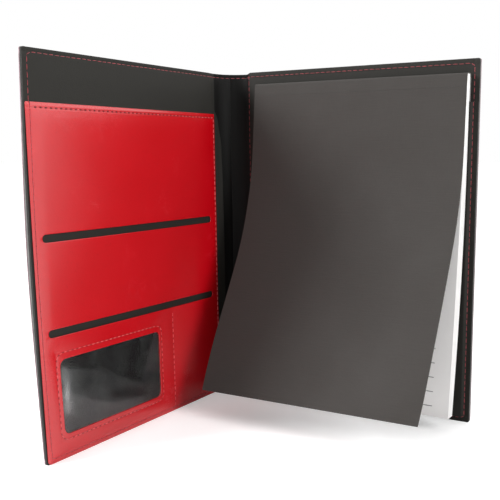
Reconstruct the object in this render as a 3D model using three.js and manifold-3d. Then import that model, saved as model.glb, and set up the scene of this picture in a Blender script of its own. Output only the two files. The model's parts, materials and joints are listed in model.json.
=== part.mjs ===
// A small folder for half-size sheets, standing half open on its lower edges.
// One cover has a document pocket and an organiser panel with card slots and a clear window.
// The other has a sleeve that holds the backboard of a writing pad, whose card cover curls away.
// Millimetres, +Z up. The origin is under the middle of the object, on the surface it stands on.
//
// Each cover is described by u, the distance from its hinge line, by n, the height above
// the inner face of its lining, and by z, the height above the surface.
import * as THREE from 'three';
import { mergeVertices } from 'three/addons/utils/BufferGeometryUtils.js';
import Module from 'manifold-3d';

const wasm = await Module();
wasm.setup();

// Writing pad
const padWidth = 148;
const padHeight = 210;
const padFoot = 4;
const padFromHinge = 10.8;
const padCorner = 3;
const backboardThickness = 0.9;
const pagesThickness = 5;
const packetCount = 4;
const fanGap = 1.2;
const fanHeight = 110;
const fanRise = 0.25;

// Card cover of the pad and the strip that binds it over the head
const cardThickness = 0.4;
const bindingFront = 8;
const bindingBack = 20;
const cardRows = 40;
const cardColumns = 14;
const cardCornerRows = 4;

// Curl of the card's two side edges: share of the length from the crease, and slope from upright in degrees
const innerCurl = [[0, 4.5], [0.168, 5.5], [0.583, 29], [0.79, 29.5], [1, 22]];
const outerCurl = [[0, 3], [0.178, 4], [0.484, 26], [0.889, 29], [1, 34]];

// Covers, sized to the pad
const headMargin = 8;
const edgeMargin = 5.2;
const coverHeight = padFoot + padHeight + headMargin;
const coverWidth = padFromHinge + padWidth + edgeMargin;
const coverCorner = 3;
const skinThickness = 0.6;
const boardThickness = 1.4;
const liningThickness = 0.6;
const boardSetback = 3;
const openingAngle = THREE.MathUtils.degToRad(90);

// Spine, a soft strip without a board
const spineWidth = 26;
const hingeGap = 0.7;

// Clearances between pieces
const glueLine = 0.1;
const slidingClearance = 0.3;

// Sleeve for the backboard
const sleeveSheet = 0.6;
const sleeveEdge = 3;
const sleeveDrop = 16;

// Document pocket, sewn on three sides and open towards the spine
const pocketSheet = 0.5;
const pocketSpace = 0.3;
const pocketSeam = 6;
const pocketEdge = 0.5;

// Organiser panel, sewn over the document pocket
const panelSheet = 0.6;
const panelSpace = 0.4;
const panelSeam = 3.5;
const panelEdge = 3.5;
const panelMargin = 0.4;
const panelHeight = 195;
const slotHeight = 4.4;
const slotFromHinge = 11;
const slotFromEdge = 6;
const upperSlotZ = 124;
const lowerSlotZ = 72;
const pocketOverlap = 2;
const dividerFromWindow = 15;
const dividerTop = 66.7;
const dividerWidth = 3;

// Clear window in the organiser panel
const windowWidth = 81;
const windowHeight = 43;
const windowFromEdge = 13.5;
const windowFoot = 13.5;
const windowCorner = 4;
const filmThickness = 0.2;
const filmOverlap = 6;

const arcSegments = 6;
const spineSegments = 14;

// Levels of the cover's layers, from the lining outwards
const liningBack = -liningThickness;
const boardFront = liningBack - glueLine;
const boardBack = boardFront - boardThickness;
const skinFront = boardBack - glueLine;
const skinBack = skinFront - skinThickness;
const hingeSkinFront = liningBack - glueLine;
const hingeSkinBack = hingeSkinFront - skinThickness;
const hingeDepth = hingeSkinBack / 2;

// Levels of the pockets on the front cover
const pocketBack = glueLine;
const pocketFront = pocketBack + pocketSpace + pocketSheet;
const panelBack = pocketFront + glueLine;
const panelFace = panelBack + panelSpace;
const panelFront = panelFace + panelSheet;

// Levels of the sleeve and the pad on the back cover
const bindingBackLevel = glueLine;
const backboardBack = bindingBackLevel + cardThickness + glueLine;
const backboardFront = backboardBack + backboardThickness;
const sleeveFace = backboardFront + glueLine;
const sleeveFront = sleeveFace + sleeveSheet;
const pagesBack = sleeveFront + glueLine;
const pagesHeadBack = backboardFront + glueLine;
const pagesHeadFront = pagesHeadBack + pagesThickness;
const lipBack = pagesHeadFront + glueLine;
const lipFront = lipBack + cardThickness;

const padInner = padFromHinge;
const padOuter = padFromHinge + padWidth;
const padHead = padFoot + padHeight;
const creaseZ = padHead + glueLine + cardThickness - bindingFront;
const sleeveHeight = padHead - sleeveDrop;

const BACK_SIDE = 1;
const FRONT_SIDE = -1;
const SAME_POINT = 1e-6;

// Meshes to solids and back

function toSolid(geometry) {
  const bare = geometry.clone();
  bare.deleteAttribute('normal');
  bare.deleteAttribute('uv');
  const merged = mergeVertices(bare);
  return new wasm.Manifold(new wasm.Mesh({
    numProp: 3,
    vertProperties: new Float32Array(merged.attributes.position.array),
    triVerts: new Uint32Array(merged.index.array),
  }));
}

function toGeometry(solid) {
  const mesh = solid.getMesh();
  const geometry = new THREE.BufferGeometry();
  geometry.setAttribute('position', new THREE.BufferAttribute(mesh.vertProperties, mesh.numProp));
  geometry.setIndex(new THREE.BufferAttribute(mesh.triVerts, 1));
  geometry.computeVertexNormals();
  return geometry;
}

function cut(geometry, tools) {
  let solid = toSolid(geometry);
  for (const tool of tools) {
    solid = solid.subtract(toSolid(tool));
  }
  return toGeometry(solid);
}

function common(first, second) {
  return toGeometry(toSolid(first).intersect(toSolid(second)));
}

// Outlines in the plane of a cover

// A rectangle with its own corner radius towards the hinge and towards the outer edge
function outline(side, { inner, outer, foot, head, innerRadius = 0, outerRadius = 0 }) {
  const path = new THREE.Shape();
  const corners = [
    { u: outer, z: foot, radius: outerRadius, centre: [-1, 1], from: -0.5, to: 0 },
    { u: outer, z: head, radius: outerRadius, centre: [-1, -1], from: 0, to: 0.5 },
    { u: inner, z: head, radius: innerRadius, centre: [1, -1], from: 0.5, to: 1 },
    { u: inner, z: foot, radius: innerRadius, centre: [1, 1], from: 1, to: 1.5 },
  ];
  const points = [];
  for (const { u, z, radius, centre, from, to } of corners) {
    const steps = radius > 0 ? arcSegments : 0;
    for (let step = 0; step <= steps; step += 1) {
      const angle = Math.PI * (from + (to - from) * (steps > 0 ? step / steps : 0));
      const pointU = u + radius * (centre[0] + Math.cos(angle));
      const pointZ = z + radius * (centre[1] + Math.sin(angle));
      points.push(radius > 0 ? [pointU, pointZ] : [u, z]);
    }
  }
  const apart = points.filter(([u, z], index) => {
    const [lastU, lastZ] = points[(index + points.length - 1) % points.length];
    return Math.hypot(u - lastU, z - lastZ) > SAME_POINT;
  });
  path.setFromPoints(apart.map(([u, z]) => new THREE.Vector2(side * u, z)));
  return path;
}

// A sheet that fills an outline between two levels
function plate(shape, back, front) {
  const geometry = new THREE.ExtrudeGeometry(shape, { depth: front - back, bevelEnabled: false });
  geometry.rotateX(Math.PI / 2);
  geometry.translate(0, -back, 0);
  return geometry;
}

function coverOutline(side, inner) {
  return outline(side, {
    inner, outer: coverWidth, foot: 0, head: coverHeight, outerRadius: coverCorner,
  });
}

// A section in u and n, drawn upwards over the height of the cover
function upright(side, section) {
  const shape = new THREE.Shape(section.map(([u, n]) => new THREE.Vector2(side * u, -n)));
  return new THREE.ExtrudeGeometry(shape, { depth: coverHeight, bevelEnabled: false });
}

// A section in n and z, drawn across the width of the pad
function across(section) {
  const shape = new THREE.Shape(section.map(([n, z]) => new THREE.Vector2(-n, z)));
  const geometry = new THREE.ExtrudeGeometry(shape, { depth: padWidth, bevelEnabled: false });
  const turn = new THREE.Matrix4().makeBasis(
    new THREE.Vector3(0, 1, 0),
    new THREE.Vector3(0, 0, 1),
    new THREE.Vector3(1, 0, 0),
  );
  geometry.applyMatrix4(turn);
  geometry.translate(padInner, 0, 0);
  return geometry;
}

// Layers of a cover

// The outer skin comes down to the hinge over a short slope at the edge of the board
function coverSkin(side) {
  const slopeStart = hingeGap / 2 + skinThickness;
  const slopeEnd = boardSetback - glueLine;
  const section = [
    [hingeGap / 2, hingeSkinFront],
    [slopeStart, hingeSkinFront],
    [slopeEnd, skinFront],
    [coverWidth, skinFront],
    [coverWidth, skinBack],
    [slopeEnd, skinBack],
    [slopeStart, hingeSkinBack],
    [hingeGap / 2, hingeSkinBack],
  ];
  const rounding = plate(coverOutline(side, 0), skinBack - glueLine, 0);
  return common(upright(side, section), rounding);
}

function coverBoard(side) {
  return plate(coverOutline(side, boardSetback), boardBack, boardFront);
}

function coverLining(side) {
  return plate(coverOutline(side, hingeGap / 2), liningBack, 0);
}

// Spine, one quarter of a ring where the folder stands half open

const spineTurn = Math.PI - openingAngle;
const spineInnerRadius = spineWidth / spineTurn + hingeDepth;

function spineStrip(front, back) {
  const middleRadius = spineInnerRadius - hingeDepth;
  const clearAngle = hingeGap / 2 / middleRadius;
  const start = Math.PI / 2 + clearAngle;
  const end = Math.PI / 2 + spineTurn - clearAngle;
  const shape = new THREE.Shape();
  shape.absarc(0, -spineInnerRadius, spineInnerRadius - back, start, end, false);
  shape.absarc(0, -spineInnerRadius, spineInnerRadius - front, end, start, true);
  return new THREE.ExtrudeGeometry(shape, {
    depth: coverHeight, bevelEnabled: false, curveSegments: spineSegments,
  });
}

// Pockets of the front cover

function documentPocket() {
  const sheet = plate(coverOutline(FRONT_SIDE, pocketEdge), pocketBack, pocketFront);
  const space = plate(outline(FRONT_SIDE, {
    inner: pocketEdge - pocketSeam,
    outer: coverWidth - pocketSeam,
    foot: pocketSeam,
    head: coverHeight - pocketSeam,
  }), pocketBack - pocketSeam, pocketFront - pocketSheet);
  return cut(sheet, [space]);
}

const panelOuter = coverWidth - panelMargin;
const windowOuter = coverWidth - windowFromEdge;
const windowInner = windowOuter - windowWidth;
const windowHead = windowFoot + windowHeight;
const dividerU = windowInner - dividerFromWindow;

function windowOutline(spread) {
  return outline(FRONT_SIDE, {
    inner: windowInner - spread,
    outer: windowOuter + spread,
    foot: windowFoot - spread,
    head: windowHead + spread,
    innerRadius: windowCorner,
    outerRadius: windowCorner,
  });
}

function slotOutline(middleZ) {
  return outline(FRONT_SIDE, {
    inner: slotFromHinge,
    outer: coverWidth - slotFromEdge,
    foot: middleZ - slotHeight / 2,
    head: middleZ + slotHeight / 2,
    innerRadius: slotHeight / 2,
    outerRadius: slotHeight / 2,
  });
}

// The spaces that cards slide into, behind each slot, with the sewn divider between the lower two
function cardSpaces() {
  const inner = panelEdge + panelSeam;
  const outer = panelOuter - panelSeam;
  const lowerHead = lowerSlotZ + slotHeight / 2 + pocketOverlap;
  const spaces = [
    { inner, outer, foot: lowerHead + panelSeam, head: upperSlotZ + slotHeight / 2 + pocketOverlap },
    { inner, outer, foot: dividerTop, head: lowerHead },
    { inner, outer: dividerU - dividerWidth / 2, foot: panelSeam, head: dividerTop },
    { inner: dividerU + dividerWidth / 2, outer, foot: panelSeam, head: dividerTop },
  ];
  return spaces.map((space) => plate(outline(FRONT_SIDE, space), panelBack - panelSpace, panelFace));
}

function organiserPanel() {
  const sheet = plate(outline(FRONT_SIDE, {
    inner: panelEdge, outer: panelOuter, foot: 0, head: panelHeight, outerRadius: coverCorner - panelMargin,
  }), panelBack, panelFront);
  const openings = [windowOutline(0), slotOutline(upperSlotZ), slotOutline(lowerSlotZ)];
  const punches = openings.map((shape) => plate(shape, panelBack - glueLine, panelFront + glueLine));
  return cut(sheet, [...punches, ...cardSpaces()]);
}

function windowFilm() {
  const filmFront = panelFace - glueLine;
  return plate(windowOutline(filmOverlap), filmFront - filmThickness, filmFront);
}

// Sleeve and pad of the back cover

function padSleeve() {
  const sheet = plate(outline(BACK_SIDE, {
    inner: sleeveEdge, outer: coverWidth, foot: 0, head: sleeveHeight,
  }), glueLine, sleeveFront);
  const corners = plate(coverOutline(BACK_SIDE, 0), 0, sleeveFront + glueLine);
  const space = plate(outline(BACK_SIDE, {
    inner: padInner - slidingClearance,
    outer: padOuter + slidingClearance,
    foot: padFoot - slidingClearance,
    head: sleeveHeight + slidingClearance,
  }), -glueLine, sleeveFace);
  return cut(common(sheet, corners), [space]);
}

function padOutline(head) {
  return outline(BACK_SIDE, {
    inner: padInner, outer: padOuter, foot: padFoot, head, innerRadius: padCorner, outerRadius: padCorner,
  });
}

function padBackboard() {
  return plate(padOutline(padHead), backboardBack, backboardFront);
}

// The pages step over the sleeve's upper edge, and fan into packets towards the foot
function pageSection() {
  const stepZ = sleeveHeight + slidingClearance;
  const stepRise = pagesBack - pagesHeadBack;
  const section = [
    [pagesHeadFront, creaseZ],
    [pagesHeadFront, padHead],
    [pagesHeadBack, padHead],
    [pagesHeadBack, stepZ + stepRise],
    [pagesBack, stepZ],
  ];
  const packet = pagesThickness / packetCount;
  for (let index = 0; index < packetCount; index += 1) {
    const packetBack = pagesBack + index * (packet + fanGap);
    const footZ = padFoot + index * fanRise;
    section.push([packetBack, footZ]);
    section.push([packetBack + packet, footZ]);
    if (index < packetCount - 1) {
      section.push([pagesBack + (index + 1) * packet, padFoot + fanHeight]);
    }
  }
  return section;
}

function pageBlock() {
  const rounding = plate(padOutline(padHead), 0, pagesBack + pagesThickness + packetCount * fanGap);
  return common(across(pageSection()), rounding);
}

// The strip lies behind the backboard, over the head and down the front as far as the crease
function bindingStrip() {
  const top = padHead + glueLine + cardThickness;
  const section = [
    [bindingBackLevel, top - bindingBack],
    [bindingBackLevel, top],
    [lipFront, top],
    [lipFront, creaseZ],
    [lipBack, creaseZ],
    [lipBack, top - cardThickness],
    [bindingBackLevel + cardThickness, top - cardThickness],
    [bindingBackLevel + cardThickness, top - bindingBack],
  ];
  return across(section);
}

// Card cover of the pad, a sheet whose two side edges follow curls of their own

const cardCreaseLevel = lipFront + slidingClearance + cardThickness / 2;
const cardLength = padHeight - bindingFront;

// The knots of the curl between the two side edges, at a share of the width
function curlKnots(share) {
  return innerCurl.map(([place, slope], index) => [
    cardLength * THREE.MathUtils.lerp(place, outerCurl[index][0], share),
    THREE.MathUtils.degToRad(THREE.MathUtils.lerp(slope, outerCurl[index][1], share)),
  ]);
}

// Arcs from knot to knot, as far as the given length from the crease
function curlPoint(share, length) {
  const knots = curlKnots(share);
  let n = 0;
  let drop = 0;
  let slope = knots[0][1];
  for (let index = 1; index < knots.length; index += 1) {
    const [start, startSlope] = knots[index - 1];
    const [end, endSlope] = knots[index];
    const travel = THREE.MathUtils.clamp(length - start, 0, end - start);
    if (travel > 0) {
      const radius = (end - start) / (endSlope - startSlope);
      slope = startSlope + travel / radius;
      n += radius * (Math.cos(startSlope) - Math.cos(slope));
      drop += radius * (Math.sin(slope) - Math.sin(startSlope));
    }
  }
  return { n, drop, slope };
}

function cardVertex(share, length, level) {
  const rounding = Math.max(length - (cardLength - padCorner), 0);
  const inset = padCorner - Math.sqrt(Math.max(padCorner ** 2 - rounding ** 2, 0));
  const u = THREE.MathUtils.lerp(padInner + inset, padOuter - inset, share);
  const { n, drop, slope } = curlPoint(share, length);
  const outward = cardCreaseLevel + n + level * Math.cos(slope);
  return [u, -outward, creaseZ - drop + level * Math.sin(slope)];
}

function cardLengths() {
  const lengths = [];
  for (let row = 0; row <= cardRows; row += 1) {
    lengths.push((cardLength - padCorner) * row / cardRows);
  }
  for (let row = 1; row <= cardCornerRows; row += 1) {
    lengths.push(cardLength - padCorner * (1 - Math.sin(Math.PI / 2 * row / (cardCornerRows + 1))));
  }
  return lengths;
}

function cardCover() {
  const lengths = cardLengths();
  const rowSize = cardColumns + 1;
  const faceSize = rowSize * lengths.length;
  const positions = [];
  for (const level of [cardThickness / 2, -cardThickness / 2]) {
    for (const length of lengths) {
      for (let column = 0; column <= cardColumns; column += 1) {
        positions.push(...cardVertex(column / cardColumns, length, level));
      }
    }
  }
  const faces = [];
  const quad = (a, b, c, d) => faces.push(a, b, c, a, c, d);
  for (let row = 0; row < lengths.length - 1; row += 1) {
    for (let column = 0; column < cardColumns; column += 1) {
      const here = row * rowSize + column;
      const below = here + rowSize;
      quad(here, below, below + 1, here + 1);
      quad(faceSize + here, faceSize + here + 1, faceSize + below + 1, faceSize + below);
    }
    const inner = row * rowSize;
    const outer = inner + cardColumns;
    quad(inner, faceSize + inner, faceSize + inner + rowSize, inner + rowSize);
    quad(outer, outer + rowSize, faceSize + outer + rowSize, faceSize + outer);
  }
  const lastRow = (lengths.length - 1) * rowSize;
  for (let column = 0; column < cardColumns; column += 1) {
    const head = column;
    const foot = lastRow + column;
    quad(head, head + 1, faceSize + head + 1, faceSize + head);
    quad(foot, faceSize + foot, faceSize + foot + 1, foot + 1);
  }
  const geometry = new THREE.BufferGeometry();
  geometry.setAttribute('position', new THREE.Float32BufferAttribute(positions, 3));
  geometry.setIndex(faces);
  geometry.computeVertexNormals();
  return geometry;
}

// Materials

const leatherette = () => new THREE.MeshStandardMaterial({ color: 0x2b2926, roughness: 0.55 });
const redLeatherette = () => new THREE.MeshStandardMaterial({ color: 0xc2142a, roughness: 0.5 });
const greyboard = () => new THREE.MeshStandardMaterial({ color: 0x8d8a84, roughness: 0.9 });
const paper = () => new THREE.MeshStandardMaterial({ color: 0xe9e6e1, roughness: 0.85 });
const darkCard = () => new THREE.MeshStandardMaterial({ color: 0x4c4744, roughness: 0.75 });
const clearFilm = () => new THREE.MeshStandardMaterial({
  color: 0xdfe3e6, roughness: 0.12, transparent: true, opacity: 0.35,
});

function piece(name, geometry, material) {
  const mesh = new THREE.Mesh(geometry, material);
  mesh.name = name;
  return mesh;
}

// Assembly

function backCover() {
  const group = new THREE.Group();
  group.add(
    piece('back_skin', coverSkin(BACK_SIDE), leatherette()),
    piece('back_board', coverBoard(BACK_SIDE), greyboard()),
    piece('back_lining', coverLining(BACK_SIDE), leatherette()),
    piece('pad_sleeve', padSleeve(), leatherette()),
    piece('pad_backboard', padBackboard(), greyboard()),
    piece('page_block', pageBlock(), paper()),
    piece('pad_binding', bindingStrip(), darkCard()),
    piece('pad_cover', cardCover(), darkCard()),
  );
  return group;
}

function spine() {
  const group = new THREE.Group();
  group.add(
    piece('spine_skin', spineStrip(hingeSkinFront, hingeSkinBack), leatherette()),
    piece('spine_lining', spineStrip(0, liningBack), leatherette()),
  );
  return group;
}

function frontCover() {
  const group = new THREE.Group();
  group.add(
    piece('front_skin', coverSkin(FRONT_SIDE), leatherette()),
    piece('front_board', coverBoard(FRONT_SIDE), greyboard()),
    piece('front_lining', coverLining(FRONT_SIDE), leatherette()),
    piece('document_pocket', documentPocket(), leatherette()),
    piece('organiser_panel', organiserPanel(), redLeatherette()),
    piece('window_film', windowFilm(), clearFilm()),
  );
  group.position.set(
    -spineInnerRadius * Math.sin(spineTurn),
    spineInnerRadius * (Math.cos(spineTurn) - 1),
    0,
  );
  group.rotation.z = spineTurn;
  return group;
}

const folder = new THREE.Group();
folder.add(backCover(), spine(), frontCover());

const box = new THREE.Box3().setFromObject(folder, true);
const middle = box.getCenter(new THREE.Vector3());
folder.position.set(-middle.x, -middle.y, 0);

export default folder;
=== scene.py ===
# A small folder standing half open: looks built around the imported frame.
#
# Places on a cover are given in millimetres by s, the distance from the cover's hinge
# (below zero it runs on round the spine), by n, the height above the lining's face,
# and by z, the height above the floor.
import json
import math
import random

import bmesh
import bpy
from mathutils import Matrix, Vector

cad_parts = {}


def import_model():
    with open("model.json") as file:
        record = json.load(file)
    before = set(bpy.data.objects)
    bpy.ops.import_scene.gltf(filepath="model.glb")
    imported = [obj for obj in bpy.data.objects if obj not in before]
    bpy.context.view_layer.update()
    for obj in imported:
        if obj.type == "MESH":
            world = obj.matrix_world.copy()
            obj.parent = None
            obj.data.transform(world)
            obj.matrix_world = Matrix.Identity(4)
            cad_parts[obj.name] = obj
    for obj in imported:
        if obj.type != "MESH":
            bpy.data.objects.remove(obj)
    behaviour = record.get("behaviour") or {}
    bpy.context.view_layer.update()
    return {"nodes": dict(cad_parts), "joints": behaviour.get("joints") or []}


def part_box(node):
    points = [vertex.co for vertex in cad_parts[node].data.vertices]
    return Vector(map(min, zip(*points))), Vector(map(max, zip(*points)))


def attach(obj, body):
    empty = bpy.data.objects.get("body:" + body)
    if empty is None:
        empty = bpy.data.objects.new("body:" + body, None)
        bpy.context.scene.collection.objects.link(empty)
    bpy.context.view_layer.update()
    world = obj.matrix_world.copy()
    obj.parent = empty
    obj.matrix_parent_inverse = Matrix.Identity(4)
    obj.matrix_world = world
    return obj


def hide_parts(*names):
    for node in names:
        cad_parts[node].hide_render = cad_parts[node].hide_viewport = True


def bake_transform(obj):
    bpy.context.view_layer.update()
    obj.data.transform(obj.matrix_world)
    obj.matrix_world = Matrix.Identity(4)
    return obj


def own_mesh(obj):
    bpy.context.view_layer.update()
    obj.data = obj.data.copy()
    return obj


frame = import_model()

MM = 0.001
random.seed(41)

# Covers and spine
HEIGHT = 222.0
WIDTH = 164.0
CORNER = 1.2
SPINE = 26.0
BACK_HEAD = 1.1
LINING = 0.6
BOARD_FRONT = -0.7
BOARD_BACK = -2.1
BOARD_START = 3.0
SKIN_BACK = -2.8
SPINE_SKIN_BACK = -1.3
FRONT_BOW = 2.6
PINCH = 1.15
PINCH_REACH = 12
HINGE_DIP = 0.35
SPINE_WAVE = 0.10
SPINE_LINING_END = 0.5
JOIN_REACH = 3.5

# Pad
PAD_FROM = 10.8
PAD_TO = 158.8
PAD_FOOT = 4.0
PAD_HEAD = 214.0
CREASE_Z = 206.5
CREASE_LEVEL = 7.6
CARD = 0.4
CARD_LENGTH = 202.0
CARD_CORNER = 0.7
CARD_COLUMNS = 36
INNER_CURL = ((0.0, 4.5), (0.168, 5.5), (0.583, 29.0), (0.79, 29.5), (1.0, 22.0))
OUTER_CURL = ((0.0, 3.0), (0.178, 4.0), (0.484, 26.0), (0.889, 29.0), (1.0, 34.0))
PAGES_HEAD_BACK = 1.6
PAGES_BACK = 2.3
PAGES = 5.0
PAGES_FRONT_LIFT = 17.1
PAGES_FRONT_BEND = 1.27
PAGES_BACK_LIFT = 15.0
PAGES_BACK_BEND = 2.1
PAGES_RISE = 4.4
LEAF_SHARE = 0.86
STRIP_BACK = 0.1
STRIP_FRONT = 6.9
STRIP_RADIUS = 1.4
STRIP_TURNS = 6
STRIP_LAP = 20.0
CREASE_GAP = 0.03
LEAVES = 16
SLEEVE_HEAD = 198.0
SLEEVE_FROM = 2.2
SLEEVE_LEVEL = 0.68
SLEEVE_RISE = 1.5
SLEEVE_SHEET = 0.58

# Organiser panel
PANEL_FROM = 3.5
PANEL_TO = 163.6
PANEL_HEAD = 195.0
PANEL_BACK = 1.0
PANEL_SHEET = 0.6
PANEL_RISE = 0.4
PANEL_EDGE_BOW = 1.0
EDGE_PRESS = 0.7
EDGE_PRESS_REACH = 2.4
SLOT_HALF = 2.2
SLOT_GAPE = 0.35
SLOT_FROM = 11.0
SLOT_TO = 156.8
SLOT_ZS = (124.0, 72.0)
WINDOW = (68.2, 150.5, 13.5, 56.5)
WINDOW_CORNER = 4.0
WINDOW_SEAM = (66.0, 153.0, 10.5, 60.3)
WINDOW_SEAM_CORNER = 5.0
PANEL_SEAM_INNER = PANEL_FROM + 1.4
PANEL_SEAM_HEAD = PANEL_HEAD - 2.7
PANEL_CORNER = 2.4
PANEL_TIP = 0.8
PANEL_ROUNDING = 0.13
FILM_LEVEL = 1.2
FILM = 0.2
FILM_OVERLAP = 6.0
FILM_SWELLS = ((136, 33, 9.0, 7.0, 0.30), (116, 40, 9.0, 9.0, -0.30), (92, 24, 16.0, 12.0, 0.40))
DIVIDER = 54.5
DIVIDER_TOP = 66.7

# Document pocket: its free edge, as distances from the hinge at heights
POCKET_EDGE = ((0.0, -4.5), (60.0, -5.0), (107.0, -5.0), (148.0, -4.7), (173.0, -4.0), (190.0, -1.0),
               (204.0, 6.4), (222.0, 6.8))
POCKET_SHEET = 0.5
POCKET_LEVEL = 0.62
POCKET_RISE = 0.3
POCKET_LIFT = 0.35
POCKET_START = -5.0
POCKET_SETTLED = 15.0

# Sewing
STITCH = 3.9
FINE_STITCH = 3.5
THREAD = 0.17
FINE_THREAD = 0.24
SEAM_SIDE = WIDTH - 3.2
SEAM_TOP = HEIGHT - 2.4
SEAM_FOOT = 2.6
SEAM_CORNER = 0.8
HINGE_SEAM = 1.0
SIDE_STEP = 6.0
SIDE_STEPS = 34
FOOT_CORNER = 3.0
STITCH_RINGS = 7
STITCH_CORNERS = 6
HOLE_CORNERS = 8
BACK_SEAM_RISE = BACK_HEAD * 0.6

# Ruled lines of the pages
RULE_FIRST = 15.1
RULE_STEP = 8.82
RULE_END = 147.8


# Places

back_low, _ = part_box("back_lining")
joints = {joint["name"]: joint for joint in frame["joints"]}
HINGE_X = joints["back_hinge"]["pos_m"][0] / MM
FACE_Y = back_low.y / MM
FACE_X = -FACE_Y
HINGE_Y = -HINGE_X
SPINE_RADIUS = FACE_Y - HINGE_Y


def on_spine(turn, n, z):
    """A point of the spine, at a turn from the back hinge."""
    reach = SPINE_RADIUS - n
    return Vector((HINGE_X - reach * math.sin(turn), HINGE_Y + reach * math.cos(turn), z)) * MM


def on_back(s, n, z):
    """A point of the back half of the folder."""
    if s < 0:
        return on_spine(-s / SPINE * math.pi / 2, n, z)
    return Vector((HINGE_X + s, FACE_Y - n, z)) * MM


def bow(s, z):
    """The front cover bends outwards a little between its upper and lower corners."""
    if s <= 0:
        return 0.0
    return -FRONT_BOW * (s / WIDTH) ** 2 * math.sin(math.pi * min(max(z / HEIGHT, 0), 1))


def on_front(s, n, z):
    """A point of the front half of the folder."""
    if s < 0:
        return on_spine((1 + s / SPINE) * math.pi / 2, n, z)
    return Vector((FACE_X + n + bow(s, z), HINGE_Y - s, z)) * MM


def spread(start, stop, step):
    """Evenly spaced values from start to stop, no further apart than step."""
    count = max(1, math.ceil((stop - start) / step - 1e-9))
    return [start + (stop - start) * i / count for i in range(count + 1)]


def around(value, reaches=(0.35, 0.8, 1.6)):
    """Values on both sides of a seam, close enough together to shape its groove."""
    return [value] + [value + side * reach for reach in reaches for side in (-1, 1)]


def between(values, low, high):
    """The values inside a range, in order and not crowded."""
    kept = [low]
    for value in sorted(values):
        if kept[-1] + 0.15 < value < high - 0.15:
            kept.append(value)
    return kept + [high]


def ease(x):
    """A smooth step from 0 to 1."""
    x = min(max(x, 0.0), 1.0)
    return x * x * (3 - 2 * x)


def along(knots, at):
    """A smooth value between knots of (place, value)."""
    if at <= knots[0][0]:
        return knots[0][1]
    for (a, va), (b, vb) in zip(knots, knots[1:]):
        if at <= b:
            return va + (vb - va) * ease((at - a) / (b - a))
    return knots[-1][1]


def dent(distance, depth=0.18, reach=0.7):
    """The groove that thread pulls into a sheet."""
    return depth * math.exp(-((distance / reach) ** 2))


# Meshes

def build(name, points, faces, materials, indices=None, sharp=38.0):
    """A mesh object with faces turned outwards."""
    mesh = bpy.data.meshes.new(name)
    mesh.from_pydata([tuple(point) for point in points], [], faces)
    for material in materials:
        mesh.materials.append(material)
    if indices:
        mesh.polygons.foreach_set("material_index", indices)
    return dress(name, mesh, sharp)


def dress(name, mesh, sharp=38.0):
    """An object around a mesh, shaded smooth but for its sharp edges."""
    work = bmesh.new()
    work.from_mesh(mesh)
    bmesh.ops.recalc_face_normals(work, faces=work.faces)
    work.to_mesh(mesh)
    work.free()
    mesh.shade_smooth()
    mesh.set_sharp_from_angle(angle=math.radians(sharp))
    piece = bpy.data.objects.new(name, mesh)
    bpy.context.scene.collection.objects.link(piece)
    return piece


def bevel(piece, width=0.12, segments=2):
    """Rounds the sharp edges of a piece."""
    modifier = piece.modifiers.new("edges", "BEVEL")
    modifier.width = width * MM
    modifier.segments = segments
    modifier.limit_method = "ANGLE"
    modifier.angle_limit = math.radians(50)
    mesh = bpy.data.meshes.new_from_object(piece.evaluated_get(bpy.context.evaluated_depsgraph_get()))
    piece.modifiers.clear()
    piece.data = mesh
    mesh.shade_smooth()
    mesh.set_sharp_from_angle(angle=math.radians(45))
    return piece


def sheet_faces(long, wide, front=lambda row: 0, cut=lambda a, b: 1):
    """Faces and material indices of a closed sheet that has long rows of wide points on each side."""
    back = long * wide
    faces = []
    indices = []
    for i in range(long - 1):
        for j in range(wide - 1):
            a = i * wide + j
            faces.append((a, a + wide, a + wide + 1, a + 1))
            faces.append((back + a, back + a + 1, back + a + wide + 1, back + a + wide))
            indices += [front(i), 0]
    rim = list(range(wide))
    rim += [i * wide + wide - 1 for i in range(1, long)]
    rim += [(long - 1) * wide + j for j in range(wide - 2, -1, -1)]
    rim += [i * wide for i in range(long - 2, 0, -1)]
    for a, b in zip(rim, rim[1:] + rim[:1]):
        faces.append((a, b, back + b, back + a))
        indices.append(cut(a, b))
    return faces, indices


def slab(name, columns, rows, levels, place, materials, span=None, marks=None):
    """A closed sheet over columns and rows; levels gives its back and front at each place.

    Materials are for its faces and its cut edge; marks picks the material of a column's front."""
    span = span or (lambda s: (rows[0], rows[-1]))
    low, high = rows[0], rows[-1]
    points = []
    for side in (1, 0):
        for s in columns:
            foot, head = span(s)
            for row in rows:
                z = foot + (row - low) / (high - low) * (head - foot)
                points.append(place(s, levels(s, z)[side], z))
    edge = min(len(materials) - 1, 1)
    faces, indices = sheet_faces(len(columns), len(rows), lambda i: marks(columns[i]) if marks else 0,
                                 lambda a, b: edge)
    return build(name, points, faces, materials, indices)


def rounded_span(edge, foot, head, radius=CORNER):
    """How a sheet's height shrinks round its outer corners."""
    def span(s):
        over = min(max(s - (edge - radius), 0.0), radius)
        inset = radius - math.sqrt(max(radius ** 2 - over ** 2, 0.0))
        return foot + inset, head - inset
    return span


def cover_columns(start, edge, extra=(), step=3.0, radius=CORNER):
    """Columns of a cover's sheet, closer together round its corners."""
    corner = [edge - radius + radius * math.sin(math.pi / 2 * i / 5) for i in range(1, 6)]
    return between(spread(start, edge - radius, step) + list(extra) + corner[:-1], start, edge)


def cover_rows(foot, head, extra=(), step=4.0):
    return between(spread(foot, head, step) + list(extra), foot, head)


# Materials

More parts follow.
